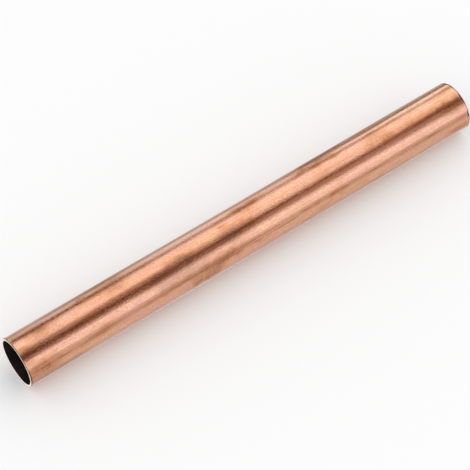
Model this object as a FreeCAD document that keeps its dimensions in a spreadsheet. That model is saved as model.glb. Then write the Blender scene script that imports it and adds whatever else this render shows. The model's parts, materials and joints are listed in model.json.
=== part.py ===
import FreeCAD
import Part
import Sketcher

import os

# A straight length of copper pipe: one drawn tube, sawn square at both ends and deburred inside and out.
# Frame: millimetres, +X along the pipe, +Z up, origin on the pipe's axis at mid-length, the pipe lying level.

PIPE_NAME = "copper_pipe"
DRIVING_SIZES = (
    ("outer_diameter", 22.0, "outside diameter of the tube"),
    ("wall", 1.0, "thickness of the tube's wall"),
    ("length", 225.0, "overall length between the two sawn faces"),
    ("edge_break", 0.15, "leg of the 45 degree break on each outer end edge"),
    ("bore_deburr", 0.1, "leg of the 45 degree deburr on each inner end edge"),
)
BORE_DIAMETER = "sizes.outer_diameter - 2 * sizes.wall"
RADIUS_TOLERANCE = 1e-6


def make_size_sheet(doc):
    """The sheet of driving dimensions: a name, the number that carries the alias, and what it measures."""
    sheet = doc.addObject("Spreadsheet::Sheet", "sizes")
    for row, (alias, value, meaning) in enumerate(DRIVING_SIZES, start=1):
        sheet.set(f"A{row}", alias)
        sheet.set(f"B{row}", str(value))
        sheet.setAlias(f"B{row}", alias)
        sheet.set(f"C{row}", meaning)
    doc.recompute()
    return sheet


def add_circle(sketch, name, diameter, expression):
    """A circle centred on the sketch's origin, whose named diameter follows the sheet."""
    centre = FreeCAD.Vector(0, 0, 0)
    normal = FreeCAD.Vector(0, 0, 1)
    circle = sketch.addGeometry(Part.Circle(centre, normal, diameter / 2))
    circle_centre, sketch_origin = (circle, 3), (-1, 1)
    sketch.addConstraint(Sketcher.Constraint("Coincident", *circle_centre, *sketch_origin))
    size = sketch.addConstraint(Sketcher.Constraint("Diameter", circle, diameter))
    sketch.renameConstraint(size, name)
    sketch.setExpression(f"Constraints.{name}", expression)


def add_ring_section(body, sizes):
    """The tube's section, square to its length: the outer circle and the bore."""
    planes = {feature.Role: feature for feature in body.Origin.OriginFeatures}
    sketch = body.newObject("Sketcher::SketchObject", "ring_section")
    sketch.AttachmentSupport = (planes["YZ_Plane"], [""])
    sketch.MapMode = "FlatFace"
    add_circle(sketch, "outside", sizes.outer_diameter, "sizes.outer_diameter")
    add_circle(sketch, "bore", sizes.outer_diameter - 2 * sizes.wall, BORE_DIAMETER)
    return sketch


def add_drawn_tube(body, section):
    """The section drawn to full length, half to each side of the origin."""
    tube = body.newObject("PartDesign::Pad", "drawn_tube")
    tube.Profile = section
    tube.SideType = "Symmetric"
    tube.setExpression("Length", "sizes.length")
    return tube


def end_edges(shape, radius):
    """Names of the circular end edges of that radius, one at each end of the tube."""
    return [
        f"Edge{number}"
        for number, edge in enumerate(shape.Edges, start=1)
        if isinstance(edge.Curve, Part.Circle) and abs(edge.Curve.Radius - radius) < RADIUS_TOLERANCE
    ]


def add_chamfer(body, name, base, radius, expression):
    """A 45 degree chamfer round both end edges of that radius."""
    chamfer = body.newObject("PartDesign::Chamfer", name)
    chamfer.Base = (base, end_edges(base.Shape, radius))
    chamfer.setExpression("Size", expression)
    return chamfer


def make_pipe(doc, sizes):
    """The whole pipe as one body: drawn, sawn to length, then deburred outside and inside."""
    outer_radius = sizes.outer_diameter / 2
    body = doc.addObject("PartDesign::Body", PIPE_NAME)
    body.Label = PIPE_NAME
    tube = add_drawn_tube(body, add_ring_section(body, sizes))
    doc.recompute()
    broken = add_chamfer(body, "outer_edge_break", tube, outer_radius, "sizes.edge_break")
    doc.recompute()
    add_chamfer(body, "bore_deburr", broken, outer_radius - sizes.wall, "sizes.bore_deburr")
    doc.recompute()
    return body


def check(doc, bodies):
    """Stops before anything is written if an object failed or a body isn't one sound solid."""
    for item in doc.Objects:
        if "Invalid" in item.State or "Error" in item.State:
            raise RuntimeError(f"{item.Label} failed to build: {item.State}")
    for body in bodies:
        shape = body.Shape
        if shape.isNull() or not shape.isValid() or len(shape.Solids) != 1:
            raise RuntimeError(f"{body.Label} isn't one sound solid")


def main():
    doc = FreeCAD.newDocument("copper_pipe_length")
    sizes = make_size_sheet(doc)
    bodies = [make_pipe(doc, sizes)]
    check(doc, bodies)
    os.makedirs("parts", exist_ok=True)
    for body in bodies:
        body.Shape.exportStep(os.path.join("parts", f"{body.Label}.step"))
        print(f"{body.Label}: {body.Shape.Volume:.1f} mm3, {len(body.Shape.Faces)} faces")


main()
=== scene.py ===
import json
import math
from collections import namedtuple

import bmesh
import bpy
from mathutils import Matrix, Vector, noise


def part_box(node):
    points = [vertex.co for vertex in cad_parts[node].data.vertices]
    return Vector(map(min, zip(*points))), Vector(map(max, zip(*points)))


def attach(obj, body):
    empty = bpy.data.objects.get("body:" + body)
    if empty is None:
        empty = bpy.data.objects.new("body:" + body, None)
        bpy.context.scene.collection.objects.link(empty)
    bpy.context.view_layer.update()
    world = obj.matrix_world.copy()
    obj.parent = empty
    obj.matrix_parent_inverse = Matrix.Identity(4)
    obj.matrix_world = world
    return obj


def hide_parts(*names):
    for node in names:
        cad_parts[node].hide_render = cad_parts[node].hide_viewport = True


# A length of drawn copper pipe lying on a pale studio floor.
# Metres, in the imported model's frame: +X along the pipe, +Z up, the origin at the middle of its axis.
# Angles go round the pipe's axis in degrees: 0 at +Y (the back), 90 at the top, 180 at -Y (the front).

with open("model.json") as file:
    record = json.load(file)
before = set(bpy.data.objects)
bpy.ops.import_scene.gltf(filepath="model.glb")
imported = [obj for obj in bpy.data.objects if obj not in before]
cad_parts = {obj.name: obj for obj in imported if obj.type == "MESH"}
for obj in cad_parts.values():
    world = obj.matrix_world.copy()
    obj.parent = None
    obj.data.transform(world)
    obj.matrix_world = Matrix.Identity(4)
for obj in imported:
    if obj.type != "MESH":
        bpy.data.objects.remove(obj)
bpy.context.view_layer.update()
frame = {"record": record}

MM = 0.001
HALF_TURN = 180
FULL_TURN = 360
PIPE_NODE = "copper_pipe"

# The pipe's sizes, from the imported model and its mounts.
box_low, box_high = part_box(PIPE_NODE)
mount_sizes = {mount["name"]: mount["dims"] for mount in frame["record"]["mounts"]}
LENGTH = box_high.x - box_low.x
OUTER_RADIUS = mount_sizes["left_spigot"]["r_mm"] * MM
BORE_RADIUS = mount_sizes["bore"]["r_mm"] * MM
EDGE_BREAK = (LENGTH - mount_sizes["left_spigot"]["length_mm"] * MM) / 2
BORE_DEBURR = (LENGTH - mount_sizes["bore"]["length_mm"] * MM) / 2
FLOOR_LEVEL = -OUTER_RADIUS

# The mesh: points round the pipe, and rings along each stretch of its profile.
POINTS_ROUND = 240
WALL_RINGS = 300
BORE_RINGS = 24
EDGE_RINGS = 3
FACE_RINGS = 4
SMOOTH_ANGLE = 30
SURFACES = ("wall", "edge", "face", "bore")

# Noise on the wall: the size of its features along and around the pipe, and a layer that sets it apart.
Field = namedtuple("Field", "along around layer")

# Relief of the drawn wall: how deep each kind goes, and its noise.
RELIEF = {
    "waves": (0.020 * MM, Field(26 * MM, 14 * MM, 3)),
    "die lines": (0.004 * MM, Field(90 * MM, 1.6 * MM, 17)),
    "ripples": (0.003 * MM, Field(7 * MM, 2 * MM, 23)),
}

# The edges are broken by hand: how much the width of a break varies, and over what distance.
EDGE_UNEVENNESS = 0.5
EDGE_WAVE = 3 * MM

# A dark strip runs along each end of the wall: full on some arcs, which end softly, a trace elsewhere.
DARK_STRIP_TRACE = 0.3
DARK_STRIP_ARC_SOFTNESS = 12
End = namedtuple("End", "browned_width browned_arcs browned_layer break_layer deburr_layer")
LEFT_END = End(0.45 * MM, ((110, 124), (152, 190)), 61, 71, 79)
RIGHT_END = End(0.8 * MM, ((50, 86), (103, 127), (150, 162)), 67, 73, 83)

# A thin film of tarnish lies all over the wall, thicker where broad and small noise rise together.
THIN_FILM = 0.2
THIN_FILM_RISE = (-0.2, 0.9)
THIN_BROAD = Field(16 * MM, 8 * MM, 31)
THIN_SMALL = Field(5 * MM, 3 * MM, 37)
THIN_SMALL_SHARE = 0.7

# Brown tarnish stains on the wall: distance from the left end and half length, in millimetres,
# angle and half width, in degrees, and strength. A negative strength is a wiped, cleaner place.
STAINS = (
    (0, 4, 130, 12, 0.35),
    (1, 4, 103, 6, 0.4),
    (2, 4, 70, 6, 0.3),
    (2, 4, 116, 6, 0.2),
    (3, 6, 57, 9, 0.3),
    (3, 6, 173, 9, 0.25),
    (6, 9, 146, 8, 0.35),
    (6, 10, 166, 12, 0.3),
    (10, 5, 75, 7, 0.7),
    (11, 4, 106, 5, 0.3),
    (11, 4, 142, 6, 0.2),
    (11, 9, 158, 8, 0.3),
    (12, 6, 90, 12, 0.3),
    (14, 7, 83, 6, 0.45),
    (20, 7, 130, 6, -0.25),
    (20, 6, 154, 5, -0.35),
    (22, 10, 186, 8, 0.2),
    (24, 7, 118, 4, 0.3),
    (26, 4, 88, 14, -0.3),
    (26, 4, 169, 6, 0.2),
    (33, 5, 86, 6, 0.2),
    (34, 4, 65, 6, 0.45),
    (34, 6, 113, 6, 0.3),
    (34, 7, 163, 5, 0.3),
    (35, 9, 156, 6, 0.2),
    (37, 6, 146, 8, 0.3),
    (40, 14, 52, 5, 0.65),
    (41, 4, 83, 5, 0.2),
    (42, 8, 77, 5, 0.3),
    (47, 9, 60, 9, 0.25),
    (47, 10, 75, 6, 0.35),
    (48, 8, 106, 5, 0.4),
    (50, 5, 88, 7, 0.4),
    (51, 6, 64, 5, 0.3),
    (51, 7, 124, 8, -0.3),
    (55, 9, 149, 6, -0.3),
    (56, 5, 178, 10, -0.25),
    (64, 4, 74, 6, 0.45),
    (64, 4, 89, 7, 0.2),
    (67, 12, 154, 4, 0.4),
    (68, 12, 110, 6, 0.6),
    (68, 10, 120, 6, 0.5),
    (74, 7, 141, 7, 0.2),
    (77, 6, 101, 9, 0.5),
    (86, 6, 183, 10, 0.65),
    (87, 7, 172, 9, 0.4),
    (88, 12, 158, 8, 0.45),
    (91, 12, 89, 12, -0.35),
    (92, 14, 143, 6, 0.2),
    (94, 5, 125, 6, 0.45),
    (100, 3, 89, 6, 0.5),
    (100, 7, 150, 9, 0.22),
    (101, 8, 106, 8, 0.35),
    (107, 6, 67, 6, 0.25),
    (107, 7, 94, 12, 0.28),
    (109, 12, 75, 5, 0.65),
    (109, 10, 118, 5, 0.55),
    (112, 5, 107, 6, 0.35),
    (114, 6, 79, 5, 0.2),
    (119, 8, 67, 6, 0.35),
    (120, 11, 155, 7, -0.3),
    (127, 8, 112, 6, -0.5),
    (131, 5, 172, 7, 0.2),
    (134, 8, 82, 7, -0.35),
    (138, 6, 141, 7, 0.25),
    (139, 5, 190, 8, 0.3),
    (140, 5, 56, 6, 0.35),
    (145, 7, 70, 9, 0.6),
    (146, 14, 154, 5, 0.35),
    (146, 4, 175, 7, 0.25),
    (149, 9, 77, 7, 0.4),
    (154, 8, 49, 8, 2.0),
    (154, 5, 104, 6, 0.2),
    (155, 12, 118, 12, -0.3),
    (157, 4, 66, 6, 0.45),
    (161, 5, 77, 6, 0.5),
    (161, 9, 171, 8, 0.25),
    (168, 6, 70, 5, -0.3),
    (168, 8, 88, 10, -0.3),
    (169, 5, 185, 8, 0.2),
    (172, 18, 193, 7, 0.25),
    (176, 5, 56, 9, 0.3),
    (178, 13, 63, 4, 0.35),
    (179, 7, 76, 4, 0.3),
    (179, 8, 87, 10, 0.4),
    (184, 4, 103, 9, 0.35),
    (184, 4, 112, 5, 0.4),
    (184, 10, 176, 8, -0.25),
    (191, 5, 78, 6, 0.4),
    (198, 22, 104, 7, 0.4),
    (201, 12, 186, 7, 0.25),
    (203, 1.8, 155, 2, 0.7),
    (213, 12, 113, 5, 0.8),
    (214, 5, 61, 8, -0.4),
    (217, 8, 108, 5, 0.35),
    (219, 7, 120, 7, 0.45),
    (219, 6, 131, 6, 0.3),
    (220, 8, 180, 10, 0.55),
    (221, 5, 73, 6, 0.45),
    (221, 4, 86, 7, 0.2),
    (224.5, 2.5, 112, 11, 0.9),
)

# Grey, dusty clouds on the wall, with the same columns.
CLOUDS = (
    (4, 5, 112, 9, 0.5),
    (5, 9, 180, 12, 0.5),
    (8, 12, 192, 8, 0.5),
    (13, 9, 92, 12, 0.45),
    (20, 9, 188, 8, 0.4),
    (31, 6, 88, 7, 0.2),
    (34, 5, 156, 6, 0.3),
    (49, 8, 82, 12, 0.3),
    (68, 7, 121, 8, 0.6),
    (72, 12, 136, 16, 0.65),
    (78, 8, 107, 9, 0.65),
    (82, 8, 129, 11, 0.4),
    (87, 8, 168, 9, 0.3),
    (88, 14, 150, 10, 0.3),
    (100, 7, 109, 7, 0.55),
    (100, 6, 120, 8, 0.5),
    (104, 7, 126, 10, 0.45),
    (218, 8, 129, 8, 0.6),
    (224.5, 2, 112, 12, 0.8),
)

# Ragged outlines: how far noise shifts a stain's or cloud's outline, as a share of its size.
RAGGED_SHARE = 0.7
RAGGED_ALONG = Field(5 * MM, 5 * MM, 101)
RAGGED_AROUND = Field(5 * MM, 5 * MM, 103)

# Flecks that make a film uneven, as shares of it, from coarse to fine. The clouds show a part of that.
FLECKS = (
    (0.5, Field(6 * MM, 6 * MM, 47.5)),
    (0.25, Field(2.2 * MM, 2.2 * MM, 47.25)),
    (0.18, Field(1.1 * MM, 1.1 * MM, 47.18)),
)
CLOUD_FLECKS = 0.5

# Dark lines along the pipe, painted reflections of dark edges in its surroundings: start and end, in
# millimetres from the left end, angle and half width, in degrees, and strength.
REFLECTION_LINES = (
    (0, 26, 151.0, 0.9, 0.3),
    (2, 40, 159.5, 1.0, 0.5),
    (29, 98, 155.0, 1.3, 0.45),
    (94, 123, 152.5, 1.1, 1.0),
    (94, 130, 160.0, 1.2, 1.0),
    (135, 225, 154.8, 1.3, 0.6),
    (165, 225, 172.0, 1.0, 0.4),
    (190, 225, 112.5, 3.0, 0.6),
)

# A painted reflection line fades at its ends, over that many millimetres, and reaches some half widths to
# each side.
# It is broken in places: its usual strength, and how far noise raises or lowers that.
LINE_END_FADE = 10
LINE_REACH = 3
LINE_USUAL = 0.6
LINE_BREAKS = 1.3
LINE_NOISE = Field(6 * MM, 3 * MM, 59)

# A noise texture in a material: features a metre along X, Y and Z, finer octaves and their strength.
Texture = namedtuple("Texture", "per_metre detail roughness", defaults=(0.55,))
WALL_LINES = Texture((14, 1100, 1100), 3)
WALL_STREAKS = Texture((75, 850, 850), 3, 0.6)
WALL_GRAIN = Texture((1100, 1400, 1400), 3, 0.6)
WALL_PITS = Texture((1500, 1900, 1900), 1)
WALL_STROKES = Texture((1400, 600, 600), 2, 0.6)
WALL_TINT = Texture((45, 120, 120), 3)
WALL_HUE = Texture((260, 420, 420), 2)
EDGE_MARKS = Texture((900, 900, 900), 3)
FACE_MARKS = Texture((300, 2600, 900), 3)
BORE_CLOUDS = Texture((60, 260, 260), 4)

# The stretch of a texture's values that a blend uses, most of them or a narrower middle, and a whole share.
NOISE_WIDE = (0.3, 0.7)
NOISE_MIDDLE = (0.35, 0.65)
FULL_SHARE = (0, 1)

# Pairs of colours, and of shades to multiply them by, that the textures blend.
COPPER_TINTS = ((0.955, 0.53, 0.36, 1), (0.97, 0.565, 0.345, 1))
LINE_SHADES = ((0.95, 0.92, 0.90, 1), (1.02, 1.04, 1.05, 1))
GRAIN_SHADES = ((0.96, 0.875, 0.83, 1), (1.025, 1.09, 1.14, 1))
HUE_SHADES = ((1.0, 0.967, 1.025, 1), (0.992, 1.025, 0.977, 1))
EDGE_BROWNS = ((0.13, 0.07, 0.05, 1), (0.34, 0.19, 0.13, 1))
FACE_TINTS = ((0.98, 0.82, 0.72, 1), (1.0, 0.94, 0.89, 1))
BORE_BROWNS = ((0.010, 0.006, 0.005, 1), (0.03, 0.015, 0.01, 1))

# Tarnish, and the painted reflection lines that share its value, turn the wall orange and then brown as
# that value rises. Dust covers it only in part.
ORANGE_TARNISH_AND_REFLECTION = (0.86, 0.43, 0.235, 1)
ORANGE_DARKENING = (0.0, 0.45)
BROWN_TARNISH_AND_REFLECTION = (0.50, 0.215, 0.11, 1)
BROWN_DARKENING = (0.25, 1.1)
GREY_DUST = (0.50, 0.28, 0.19, 1)
DUST_COVER = 0.7

# The darkening is broken up by grain and strokes, and a little is added along the strongest streaks.
DARKENING_GRAIN = (0.65, 1.35)
DARKENING_STROKES = (0.8, 1.2)
STRONG_STREAKS = (0.52, 0.75)
STREAK_DARKENING = (0, 0.15)

# Roughness of the surfaces, and what full darkening adds to the wall's.
WALL_ROUGHNESS = (0.1, 0.145)
DARKENING_ROUGHNESS = 0.10
EDGE_ROUGHNESS = (0.4, 0.55)
FACE_ROUGHNESS = (0.32, 0.42)
BORE_ROUGHNESS = (0.55, 0.75)
BORE_SPECULAR = 0.2

# The finest relief, as bump: what streaks, grain and pits add on the wall, and how deep it goes.
STREAK_HEIGHT = 0.45
GRAIN_HEIGHT = 0.75
PIT_SPOTS = (0.5, 0.75)
PIT_DEPTH = (0, 0.8)
WALL_BUMP = 0.03 * MM
WALL_BUMP_STRENGTH = 1.0
FACE_BUMP = 0.02 * MM
FACE_BUMP_STRENGTH = 0.3

# The Mix node's sockets for colours, by number.
MIX_SHARE = 0
MIX_FIRST = 6
MIX_SECOND = 7
MIX_RESULT = 2

# The reflected studio: softboxes on a long dark tent round the pipe, seen only in reflections.
# A softbox fades into the cloth through warm tones: each colour channel has its own fade.
TENT_RADIUS = 1.6
TENT_HALF_LENGTH = 4.0
TENT_STEP_DEGREES = 1.0
TENT_STEP_X = 0.1
TENT_END_RINGS = 8
TENT_X_SOFTNESS = 0.16
TENT_DARK = (0.115, 0.046, 0.024)
TENT_FADES = (0.8, 1.0, 1.1)

# Stretches of the tent along X, in metres, some of them running on past its ends.
PAST_END = 9
ALL_X = (-PAST_END, PAST_END)
LEFT_X = (-PAST_END, 0)
NEAR_END_X = (-PAST_END, 0.33)
LEFT_HALF_X = (-PAST_END, 0.42)
NEAR_X = (-PAST_END, 0.72)
UNDER_X = (0.37, 0.62)
OVERHEAD_COOL_X = (0.40, 0.64)
BEND_X = (0.41, 0.61)
MIDDLE_X = (0.45, 0.72)
BEYOND_MIDDLE_X = (0.52, 0.83)
PAST_MIDDLE_X = (0.69, 0.87)
RIGHT_X = (0, PAST_END)
FAR_X = (0.5, PAST_END)
OVERHEAD_EDGE_X = (0.56, PAST_END)
FAR_COOL_X = (0.65, PAST_END)
FAR_LINE_X = (0.72, PAST_END)
FAR_END_X = (0.86, PAST_END)
END_WALL_X = (0.90, PAST_END)

# Tints of the softboxes: red, green and blue, for a brightness of 1.
BROWN = (1.36, 1.0, 0.88)
MAUVE = (1.26, 1.0, 0.97)
DUSKY = (1.14, 1.0, 1.03)
PLAIN = (1.08, 1.0, 1.0)
WARM = (1.05, 1.0, 0.98)
PALE = (1.05, 1.0, 1.01)
ROSY = (0.99, 1.0, 1.11)
CLEAR = (0.98, 1.0, 1.06)
GREY = (0.95, 1.0, 1.07)
PEARL = (0.92, 1.0, 1.04)
ICY = (0.87, 1.0, 1.16)
FROST = (0.8, 1.0, 1.25)

# Each softbox: start and end angles, the softness of those edges, stretch along X, tint and brightness.
# An angle past a full turn goes on into the next one.
SOFTBOXES = {
    "overhead near": (37.6, 92.1, 24, 32, NEAR_X, WARM, 1.03),
    "overhead near cool": (37, 62, 18, 26, LEFT_HALF_X, ICY, 1.04),
    "overhead middle cool": (37, 64, 18, 26, OVERHEAD_COOL_X, ICY, 1.1),
    "overhead far": (38.0, 99.8, 16, 24, FAR_X, WARM, 0.97),
    "overhead far cool": (38, 75, 14, 26, FAR_COOL_X, CLEAR, 1.14),
    "overhead edge cool": (37, 46, 14, 16, OVERHEAD_EDGE_X, ICY, 1.1),
    "overhead spill": (80, 109, 20, 6, NEAR_X, BROWN, 0.235),
    "front": (136, 177, 18, 22, ALL_X, ROSY, 1.03),
    "front middle": (133.5, 177, 16, 22, BEYOND_MIDDLE_X, ROSY, 1.03),
    "front far": (145, 178.5, 18, 22, FAR_LINE_X, ROSY, 1.03),
    "front spill near": (122, 145, 6, 8, NEAR_X, BROWN, 0.2),
    "front spill far": (116, 145, 8, 8, FAR_X, BROWN, 0.305),
    "front spill middle": (113.5, 145, 8, 8, PAST_MIDDLE_X, MAUVE, 0.38),
    "front table": (170, 280, 10, 10, ALL_X, DUSKY, 0.53),
    "front floor": (198.5, 258, 20, 50, ALL_X, PALE, 0.67),
    "under": (268.5, 300, 14, 12, ALL_X, PEARL, 0.75),
    "under middle": (262, 300, 14, 12, UNDER_X, PEARL, 0.8),
    "back wall near": (350, 378, 18, 14, NEAR_X, ICY, 0.78),
    "back wall bend": (347, 372, 14, 14, BEND_X, FROST, 0.95),
    "back wall middle": (354, 382, 18, 18, MIDDLE_X, ICY, 1.14),
    "back wall end": (354, 384, 12, 10, END_WALL_X, ICY, 0.5),
    "back wall far": (366, 384.5, 10, 10, FAR_LINE_X, ICY, 1.35),
    "back fill middle": (376, 405, 10, 10, MIDDLE_X, DUSKY, 0.52),
    "back fill far": (380, 405, 10, 10, FAR_LINE_X, DUSKY, 0.54),
    "back floor left": (280, 350, 20, 10, LEFT_X, PLAIN, 1.05),
    "back floor middle": (295, 336, 20, 10, MIDDLE_X, GREY, 0.74),
    "back floor right": (295, 350, 20, 10, RIGHT_X, GREY, 0.43),
    "back floor near": (312, 340, 16, 10, NEAR_END_X, ICY, 0.8),
    "back floor end": (312, 338, 16, 10, FAR_END_X, GREY, 0.66),
}

# The camera, at the photograph's viewing angle.
VIEW_AZIMUTH = math.radians(-35.91)
VIEW_ELEVATION = math.radians(54.46)
VIEW_DISTANCE = 0.8192
VIEW_AIM = Vector((-0.0048, 0.0006, -0.0016))
VIEW_LENS = 150.39

FLOOR_SIZE = 30.0
FLOOR_COLOUR = (0.98, 0.98, 0.98, 1.0)
WORLD_COLOUR = (1, 1, 1, 1)
WORLD_LIGHT = 1.0


def smooth_step(low, high, value):
    """0 below low, 1 above high, with a smooth rise between."""
    share = min(max((value - low) / (high - low), 0.0), 1.0)
    return share * share * (3 - 2 * share)


def window(value, low, high, low_soft, high_soft):
    """1 between low and high, falling smoothly to 0 over the soft width centred on each edge."""
    rise = smooth_step(low - low_soft / 2, low + low_soft / 2, value)
    fall = smooth_step(high - high_soft / 2, high + high_soft / 2, value)
    return rise * (1 - fall)


def even_steps(first, last, count):
    """Count values from first towards last, without last itself."""
    return [first + (last - first) * step / count for step in range(count)]


def angle_apart(first, second):
    """The shortest way round from one angle to another, in degrees."""
    return (first - second + HALF_TURN) % FULL_TURN - HALF_TURN


def millimetres_from_left(x):
    """How far that place is from the pipe's left end, in millimetres."""
    return (x + LENGTH / 2) / MM


def round_noise(x, angle, field):
    """Noise on the pipe's wall, without a seam, from about -1 to 1."""
    turn = math.radians(angle)
    reach = OUTER_RADIUS / field.around
    place = Vector((x / field.along, reach * math.cos(turn), reach * math.sin(turn)))
    return noise.noise(place + Vector((field.layer, 0, 0)))


def wall_relief(x, angle):
    """How far the drawn wall lies under its true radius: each kind of relief from 0 to its depth."""
    return sum(depth * (0.5 + 0.5 * round_noise(x, angle, field)) for depth, field in RELIEF.values())


def uneven_width(nominal, angle, layer):
    """The width of a hand-broken edge or a dark strip at that angle."""
    return nominal * (1 + EDGE_UNEVENNESS * round_noise(0, angle, Field(LENGTH, EDGE_WAVE, layer)))


def dark_strip_share(angle, arcs):
    """How much of a dark strip's width is left at that angle."""
    soft = DARK_STRIP_ARC_SOFTNESS
    full = max(window(angle, start, stop, soft, soft) for start, stop in arcs)
    return DARK_STRIP_TRACE + (1 - DARK_STRIP_TRACE) * full


def end_widths(end, angle):
    """An end's widths at that angle: its broken outer edge, its dark strip and its deburred bore."""
    outer = uneven_width(EDGE_BREAK, angle, end.break_layer)
    dark_strip = uneven_width(end.browned_width, angle, end.browned_layer)
    dark_strip *= dark_strip_share(angle, end.browned_arcs)
    deburr = uneven_width(BORE_DEBURR, angle, end.deburr_layer)
    return outer, dark_strip, deburr


def profile(angle):
    """The closed profile at that angle, as (x, radius, surface): wall, right end, bore, left end."""
    half = LENGTH / 2
    left_break, left_dark_strip, left_deburr = end_widths(LEFT_END, angle)
    right_break, right_dark_strip, right_deburr = end_widths(RIGHT_END, angle)
    corners = (
        ("wall", -half + left_break + left_dark_strip, OUTER_RADIUS, WALL_RINGS),
        ("edge", half - right_break - right_dark_strip, OUTER_RADIUS, EDGE_RINGS),
        ("edge", half - right_break, OUTER_RADIUS, EDGE_RINGS),
        ("face", half, OUTER_RADIUS - right_break, FACE_RINGS),
        ("bore", half, BORE_RADIUS + right_deburr, EDGE_RINGS),
        ("bore", half - right_deburr, BORE_RADIUS, BORE_RINGS),
        ("bore", -half + left_deburr, BORE_RADIUS, EDGE_RINGS),
        ("face", -half, BORE_RADIUS + left_deburr, FACE_RINGS),
        ("edge", -half, OUTER_RADIUS - left_break, EDGE_RINGS),
        ("edge", -half + left_break, OUTER_RADIUS, EDGE_RINGS),
    )
    stations = []
    for corner, (surface, x, radius, rings) in enumerate(corners):
        next_x, next_radius = corners[(corner + 1) % len(corners)][1:3]
        places = zip(even_steps(x, next_x, rings), even_steps(radius, next_radius, rings))
        stations.extend((place_x, place_radius, surface) for place_x, place_radius in places)
    return stations


def ragged_film(patches, x, angle):
    """The film of soft patches with ragged outlines."""
    from_left = millimetres_from_left(x)
    shift_along = RAGGED_SHARE * round_noise(x, angle, RAGGED_ALONG)
    shift_around = RAGGED_SHARE * round_noise(x, angle, RAGGED_AROUND)
    darkening = 0.0
    for place, half_length, patch_angle, half_width, strength in patches:
        along = (from_left - place) / half_length + shift_along
        around = angle_apart(angle, patch_angle) / half_width + shift_around
        darkening += strength * math.exp(-(along * along + around * around))
    return darkening


def reflection_line_film(x, angle):
    """The painted reflection lines: dark, thin, along the pipe, and broken in places."""
    from_left = millimetres_from_left(x)
    darkening = 0.0
    for start, end, line_angle, half_width, strength in REFLECTION_LINES:
        around = angle_apart(angle, line_angle) / half_width
        if abs(around) < LINE_REACH:
            broken = max(0.0, LINE_USUAL + LINE_BREAKS * round_noise(x, angle, LINE_NOISE))
            along = window(from_left, start, end, LINE_END_FADE, LINE_END_FADE)
            darkening += strength * broken * along * math.exp(-around * around)
    return darkening


def thin_film(x, angle):
    """The thin cloudy film of tarnish all over the wall."""
    clouds = round_noise(x, angle, THIN_BROAD) + THIN_SMALL_SHARE * round_noise(x, angle, THIN_SMALL)
    return THIN_FILM * smooth_step(*THIN_FILM_RISE, clouds)


def mottle(x, angle):
    """Fine unevenness of a film, about 0 on average: flecks of several sizes."""
    return sum(share * round_noise(x, angle, field) for share, field in FLECKS)


def tarnish_and_reflection_lines(x, angle):
    """How dark the wall is painted there, from 0 to 1: the thin film of tarnish, the stains and the painted
    reflection lines.
    """
    uneven = max(0.0, 1 + mottle(x, angle))
    darkening = max(0.0, thin_film(x, angle) + ragged_film(STAINS, x, angle)) * uneven
    # The dark lines added here are painted reflections, laid over the real tarnish.
    return min(darkening + reflection_line_film(x, angle), 1.0)


def dust(x, angle):
    """How dulled the wall is there by grey film, from 0 to 1."""
    return min(ragged_film(CLOUDS, x, angle) * (1 + CLOUD_FLECKS * mottle(x, angle)), 1.0)


def add_points(builder, angles, strips):
    """Adds a column of points at each angle, with the wall's relief, its tarnish with the painted
    reflection lines, and its dust.
    """
    tarnish_and_reflection_layer = builder.verts.layers.float.new("tarnish_and_reflection_lines")
    dust_layer = builder.verts.layers.float.new("dust")
    columns = []
    for angle, strip in zip(angles, strips):
        turn = math.radians(angle)
        column = []
        for x, radius, surface in strip:
            drawn = surface == "wall"
            reach = radius - wall_relief(x, angle) if drawn else radius
            point = builder.verts.new((x, reach * math.cos(turn), reach * math.sin(turn)))
            point[tarnish_and_reflection_layer] = tarnish_and_reflection_lines(x, angle) if drawn else 0.0
            point[dust_layer] = dust(x, angle) if drawn else 0.0
            column.append(point)
        columns.append(column)
    return columns


def add_faces(builder, columns, strips):
    """Adds the faces between each column of points and the next, each face on its own surface."""
    for number, column in enumerate(columns):
        next_column = columns[(number + 1) % len(columns)]
        for station, (_, _, surface) in enumerate(strips[number]):
            ahead = (station + 1) % len(column)
            corners = (column[station], column[ahead], next_column[ahead], next_column[station])
            face = builder.faces.new(corners)
            face.material_index = SURFACES.index(surface)
            face.smooth = True


def make_pipe_mesh():
    """The whole pipe as one closed skin, worked out angle by angle."""
    angles = even_steps(0, FULL_TURN, POINTS_ROUND)
    strips = [profile(angle) for angle in angles]
    pipe_mesh = bpy.data.meshes.new("drawn_copper_pipe")
    builder = bmesh.new()
    columns = add_points(builder, angles, strips)
    add_faces(builder, columns, strips)
    bmesh.ops.recalc_face_normals(builder, faces=builder.faces)
    builder.to_mesh(pipe_mesh)
    builder.free()
    return pipe_mesh


def node(tree, kind, inputs=None, **settings):
    """Adds a shader node with those settings, its inputs given as values or as other nodes' outputs."""
    made = tree.nodes.new(kind)
    for name, value in settings.items():
        setattr(made, name, value)
    for name, value in (inputs or {}).items():
        if isinstance(value, bpy.types.NodeSocket):
            tree.links.new(value, made.inputs[name])
        else:
            made.inputs[name].default_value = value
    return made


def new_material(name):
    """A node material that is still empty."""
    material = bpy.data.materials.new(name)
    material.use_nodes = True
    material.node_tree.nodes.clear()
    return material


def add_surface(tree, kind, inputs):
    """Adds a shader and makes it the material's surface."""
    shader = node(tree, kind, inputs)
    node(tree, "ShaderNodeOutputMaterial", {"Surface": shader.outputs[0]})


def mesh_attribute(tree, name, output):
    """A value that the mesh keeps at its points."""
    return node(tree, "ShaderNodeAttribute", attribute_name=name).outputs[output]


def math_node(tree, operation, first, second):
    """The result of an operation on two values."""
    return node(tree, "ShaderNodeMath", {0: first, 1: second}, operation=operation).outputs[0]


def remap(tree, value, from_range, to_range):
    """The value carried smoothly from one range to another, and held at its ends."""
    low, high = from_range
    to_low, to_high = to_range
    inputs = {"Value": value, "From Min": low, "From Max": high, "To Min": to_low, "To Max": to_high}
    return node(tree, "ShaderNodeMapRange", inputs, interpolation_type="SMOOTHSTEP").outputs["Result"]


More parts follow.
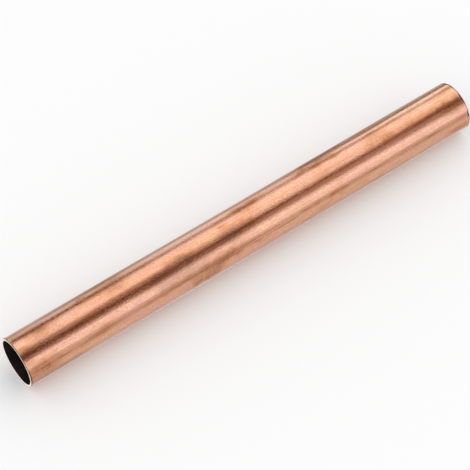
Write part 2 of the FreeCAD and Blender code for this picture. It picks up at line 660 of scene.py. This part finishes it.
def noise_texture(tree, texture):
    """A noise texture in the object's own coordinates."""
    place = node(tree, "ShaderNodeTexCoord").outputs["Object"]
    scaled = node(tree, "ShaderNodeVectorMath", {0: place, 1: texture.per_metre}, operation="MULTIPLY")
    inputs = {
        "Vector": scaled.outputs[0],
        "Scale": 1.0,
        "Detail": texture.detail,
        "Roughness": texture.roughness,
    }
    return node(tree, "ShaderNodeTexNoise", inputs).outputs["Fac"]


def mix_colour(tree, share, first, second, blend="MIX"):
    """A colour between two, by that share of the second."""
    inputs = {MIX_SHARE: share, MIX_FIRST: first, MIX_SECOND: second}
    mixer = node(tree, "ShaderNodeMix", inputs, data_type="RGBA", blend_type=blend)
    return mixer.outputs[MIX_RESULT]


def blend_pair(tree, value, value_range, pair):
    """A colour between the two of a pair, by where the value lies in its range."""
    return mix_colour(tree, remap(tree, value, value_range, FULL_SHARE), *pair)


def bump_normal(tree, height, strength, distance):
    """The surface's direction, tilted by a height over that distance."""
    inputs = {"Height": height, "Strength": strength, "Distance": distance}
    return node(tree, "ShaderNodeBump", inputs).outputs[0]


def broken_darkening(tree, darkening, streaks, grain):
    """The darkening from tarnish and the painted reflection lines, broken up by grain and strokes, with a
    little more of it along strong streaks.
    """
    strokes = noise_texture(tree, WALL_STROKES)
    grained = math_node(tree, "MULTIPLY", darkening, remap(tree, grain, NOISE_WIDE, DARKENING_GRAIN))
    stroked = math_node(tree, "MULTIPLY", grained, remap(tree, strokes, NOISE_MIDDLE, DARKENING_STROKES))
    return math_node(tree, "ADD", stroked, remap(tree, streaks, STRONG_STREAKS, STREAK_DARKENING))


def wall_colour(tree, darkening, lines, streaks, grain):
    """The wall's colour: copper under tarnish, painted reflection lines and dust, shaded by lines, grain
    and patches of hue.
    """
    tint = noise_texture(tree, WALL_TINT)
    hue = noise_texture(tree, WALL_HUE)
    darkened = broken_darkening(tree, darkening, streaks, grain)
    dusted = math_node(tree, "MULTIPLY", mesh_attribute(tree, "dust", "Fac"), DUST_COVER)
    clean = blend_pair(tree, tint, NOISE_MIDDLE, COPPER_TINTS)
    orange = mix_colour(tree, remap(tree, darkened, ORANGE_DARKENING, FULL_SHARE), clean, ORANGE_TARNISH_AND_REFLECTION)
    brown = mix_colour(tree, remap(tree, darkened, BROWN_DARKENING, FULL_SHARE), orange, BROWN_TARNISH_AND_REFLECTION)
    colour = mix_colour(tree, dusted, brown, GREY_DUST)
    for value, shades in ((lines, LINE_SHADES), (grain, GRAIN_SHADES), (hue, HUE_SHADES)):
        shade = blend_pair(tree, value, NOISE_WIDE, shades)
        colour = mix_colour(tree, 1.0, colour, shade, "MULTIPLY")
    return colour


def wall_bump(tree, streaks, grain):
    """The wall's finest relief: streaks along it, grain and small pits."""
    pits = noise_texture(tree, WALL_PITS)
    streak_height = math_node(tree, "MULTIPLY", streaks, STREAK_HEIGHT)
    grain_height = math_node(tree, "MULTIPLY", grain, GRAIN_HEIGHT)
    raised = math_node(tree, "ADD", streak_height, grain_height)
    height = math_node(tree, "SUBTRACT", raised, remap(tree, pits, PIT_SPOTS, PIT_DEPTH))
    return bump_normal(tree, height, WALL_BUMP_STRENGTH, WALL_BUMP)


def make_wall_copper():
    """Drawn copper: satin, with fine lines along it, a mottled tint, a brown tarnish in stains and dark
    lines of painted reflection.
    """
    material = new_material("drawn_copper")
    tree = material.node_tree
    # This value holds the tarnish and the painted reflection lines, which darken the colour as painted
    # reflection.
    darkening = mesh_attribute(tree, "tarnish_and_reflection_lines", "Fac")
    lines = noise_texture(tree, WALL_LINES)
    streaks = noise_texture(tree, WALL_STREAKS)
    grain = noise_texture(tree, WALL_GRAIN)
    line_wear = remap(tree, lines, NOISE_WIDE, WALL_ROUGHNESS)
    darkening_wear = math_node(tree, "MULTIPLY", darkening, DARKENING_ROUGHNESS)
    surface = {
        "Base Color": wall_colour(tree, darkening, lines, streaks, grain),
        "Metallic": 1.0,
        "Roughness": math_node(tree, "ADD", line_wear, darkening_wear),
        "Normal": wall_bump(tree, streaks, grain),
    }
    add_surface(tree, "ShaderNodeBsdfPrincipled", surface)
    return material


def make_edge_copper():
    """The broken outer edges and the dark strips: dulled, darker than the wall."""
    material = new_material("broken_edge_copper")
    tree = material.node_tree
    marks = noise_texture(tree, EDGE_MARKS)
    surface = {
        "Base Color": blend_pair(tree, marks, NOISE_MIDDLE, EDGE_BROWNS),
        "Metallic": 1.0,
        "Roughness": remap(tree, marks, NOISE_WIDE, EDGE_ROUGHNESS),
    }
    add_surface(tree, "ShaderNodeBsdfPrincipled", surface)
    return material


def make_face_copper():
    """The sawn end faces: bare copper, paler than the wall, with fine marks."""
    material = new_material("sawn_copper")
    tree = material.node_tree
    marks = noise_texture(tree, FACE_MARKS)
    surface = {
        "Base Color": blend_pair(tree, marks, NOISE_WIDE, FACE_TINTS),
        "Metallic": 1.0,
        "Roughness": remap(tree, marks, NOISE_WIDE, FACE_ROUGHNESS),
        "Normal": bump_normal(tree, marks, FACE_BUMP_STRENGTH, FACE_BUMP),
    }
    add_surface(tree, "ShaderNodeBsdfPrincipled", surface)
    return material


def make_bore_oxide():
    """The bore's skin and its deburred edges: a dull, nearly black oxide with brown clouds."""
    material = new_material("bore_oxide")
    tree = material.node_tree
    clouds = noise_texture(tree, BORE_CLOUDS)
    surface = {
        "Base Color": blend_pair(tree, clouds, NOISE_MIDDLE, BORE_BROWNS),
        "Roughness": remap(tree, clouds, NOISE_MIDDLE, BORE_ROUGHNESS),
        "Specular IOR Level": BORE_SPECULAR,
    }
    add_surface(tree, "ShaderNodeBsdfPrincipled", surface)
    return material


def make_pipe():
    """The finished pipe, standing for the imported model's plain one."""
    pipe_mesh = make_pipe_mesh()
    for material in (make_wall_copper(), make_edge_copper(), make_face_copper(), make_bore_oxide()):
        pipe_mesh.materials.append(material)
    pipe_mesh.set_sharp_from_angle(angle=math.radians(SMOOTH_ANGLE))
    pipe = bpy.data.objects.new("drawn_copper_pipe", pipe_mesh)
    bpy.context.scene.collection.objects.link(pipe)
    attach(pipe, "root")
    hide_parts(PIPE_NODE)


def make_floor():
    """A plain pale floor under the pipe. Reflections show the tent in its place."""
    material = new_material("pale_floor")
    add_surface(material.node_tree, "ShaderNodeBsdfDiffuse", {"Color": FLOOR_COLOUR})
    bpy.ops.mesh.primitive_plane_add(size=FLOOR_SIZE, location=(0, 0, FLOOR_LEVEL))
    floor = bpy.context.object
    floor.name = "floor"
    floor.data.materials.append(material)
    floor.visible_glossy = False


def tent_glow(x, angle):
    """The tent's colour at that place: its dark cloth, lit up where a softbox is."""
    glow = list(TENT_DARK)
    for start, end, start_soft, end_soft, (x_start, x_end), tint, brightness in SOFTBOXES.values():
        lit = max(window(angle + turn, start, end, start_soft, end_soft) for turn in (0, FULL_TURN))
        lit *= window(x, x_start, x_end, TENT_X_SOFTNESS, TENT_X_SOFTNESS)
        for channel, (dark, fade, share) in enumerate(zip(TENT_DARK, TENT_FADES, tint)):
            lightened = dark + (brightness * share - dark) * lit ** fade
            glow[channel] = max(glow[channel], lightened)
    return glow


def tent_rings():
    """The tent's rings as (x, radius): shrinking onto the flat ends, even along its length."""
    closing = [TENT_RADIUS * share / TENT_END_RINGS for share in range(1, TENT_END_RINGS)]
    left = [(-TENT_HALF_LENGTH, radius) for radius in closing]
    right = [(TENT_HALF_LENGTH, radius) for radius in reversed(closing)]
    steps = round(2 * TENT_HALF_LENGTH / TENT_STEP_X)
    along = [(-TENT_HALF_LENGTH + step * TENT_STEP_X, TENT_RADIUS) for step in range(steps + 1)]
    return left + along + right


def make_tent_mesh():
    """The tent's skin, with its glow kept at its points."""
    tent_mesh = bpy.data.meshes.new("reflected_tent")
    builder = bmesh.new()
    glow_layer = builder.verts.layers.float_color.new("glow")
    angle_count = round(FULL_TURN / TENT_STEP_DEGREES)
    rings = []
    for x, radius in tent_rings():
        ring = []
        for angle in even_steps(0, FULL_TURN, angle_count):
            turn = math.radians(angle)
            point = builder.verts.new((x, radius * math.cos(turn), radius * math.sin(turn)))
            point[glow_layer] = (*tent_glow(x, angle), 1.0)
            ring.append(point)
        rings.append(ring)
    for ring, next_ring in zip(rings, rings[1:]):
        for side in range(angle_count):
            ahead = (side + 1) % angle_count
            builder.faces.new((ring[side], ring[ahead], next_ring[ahead], next_ring[side]))
    builder.to_mesh(tent_mesh)
    builder.free()
    return tent_mesh


def make_tent():
    """The long round tent that the pipe's reflections show."""
    material = new_material("tent_glow")
    glow = mesh_attribute(material.node_tree, "glow", "Color")
    add_surface(material.node_tree, "ShaderNodeEmission", {"Color": glow, "Strength": 1.0})
    tent_mesh = make_tent_mesh()
    tent_mesh.materials.append(material)
    tent = bpy.data.objects.new("reflected_tent", tent_mesh)
    bpy.context.scene.collection.objects.link(tent)
    tent.visible_camera = False
    tent.visible_diffuse = False
    tent.visible_transmission = False
    tent.visible_shadow = False


def make_world():
    """Soft white light from all round."""
    world = bpy.data.worlds.new("studio")
    world.use_nodes = True
    background = world.node_tree.nodes["Background"]
    background.inputs["Color"].default_value = WORLD_COLOUR
    background.inputs["Strength"].default_value = WORLD_LIGHT
    bpy.context.scene.world = world


def make_camera():
    """The photograph's view: a long lens, from above and to the left of the pipe's near end."""
    across = math.cos(VIEW_ELEVATION)
    right = math.sin(VIEW_AZIMUTH) * across
    away = -math.cos(VIEW_AZIMUTH) * across
    back = Vector((right, away, math.sin(VIEW_ELEVATION)))
    camera_data = bpy.data.cameras.new("camera")
    camera_data.lens = VIEW_LENS
    camera = bpy.data.objects.new("camera", camera_data)
    camera.location = VIEW_AIM + back * VIEW_DISTANCE
    camera.rotation_euler = back.to_track_quat("Z", "Y").to_euler()
    bpy.context.scene.collection.objects.link(camera)
    bpy.context.scene.camera = camera


make_pipe()
make_floor()
make_tent()
make_world()
make_camera()
bpy.context.scene.view_settings.view_transform = "Standard"
